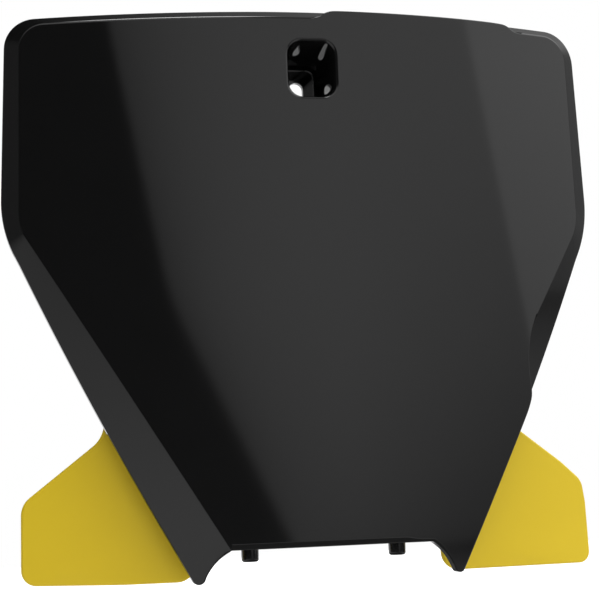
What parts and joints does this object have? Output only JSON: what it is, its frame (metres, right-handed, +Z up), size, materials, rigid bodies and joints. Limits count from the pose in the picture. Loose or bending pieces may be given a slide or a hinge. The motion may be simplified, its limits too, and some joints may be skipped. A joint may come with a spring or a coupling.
{
  "type": "racing number board",
  "caption": "Curved black front number plate with bent-back rim, deep slotted screw pocket, locating pegs and yellow side wings screwed on behind.",
  "frame": {"origin": "centre of the oblong slot, on the rear face of the pocket's seat, where the board is screwed to the bike", "axes": "+X to the viewer's right, +Y back through the seat towards the bike, +Z up along the upright face"},
  "size_m": [0.2498, 0.0345, 0.2301],
  "materials": {
    "black_plastic": "moulded, smooth semi-gloss",
    "yellow_plastic": "moulded, satin",
    "zinc_screw": "zinc plated"
  },
  "bodies": {
    "root": {"number_plate": "black_plastic", "left_wing": "yellow_plastic", "right_wing": "yellow_plastic", "left_low_screw": "zinc_screw", "left_high_screw": "zinc_screw", "right_low_screw": "zinc_screw", "right_high_screw": "zinc_screw"}
  },
  "joints": []
}
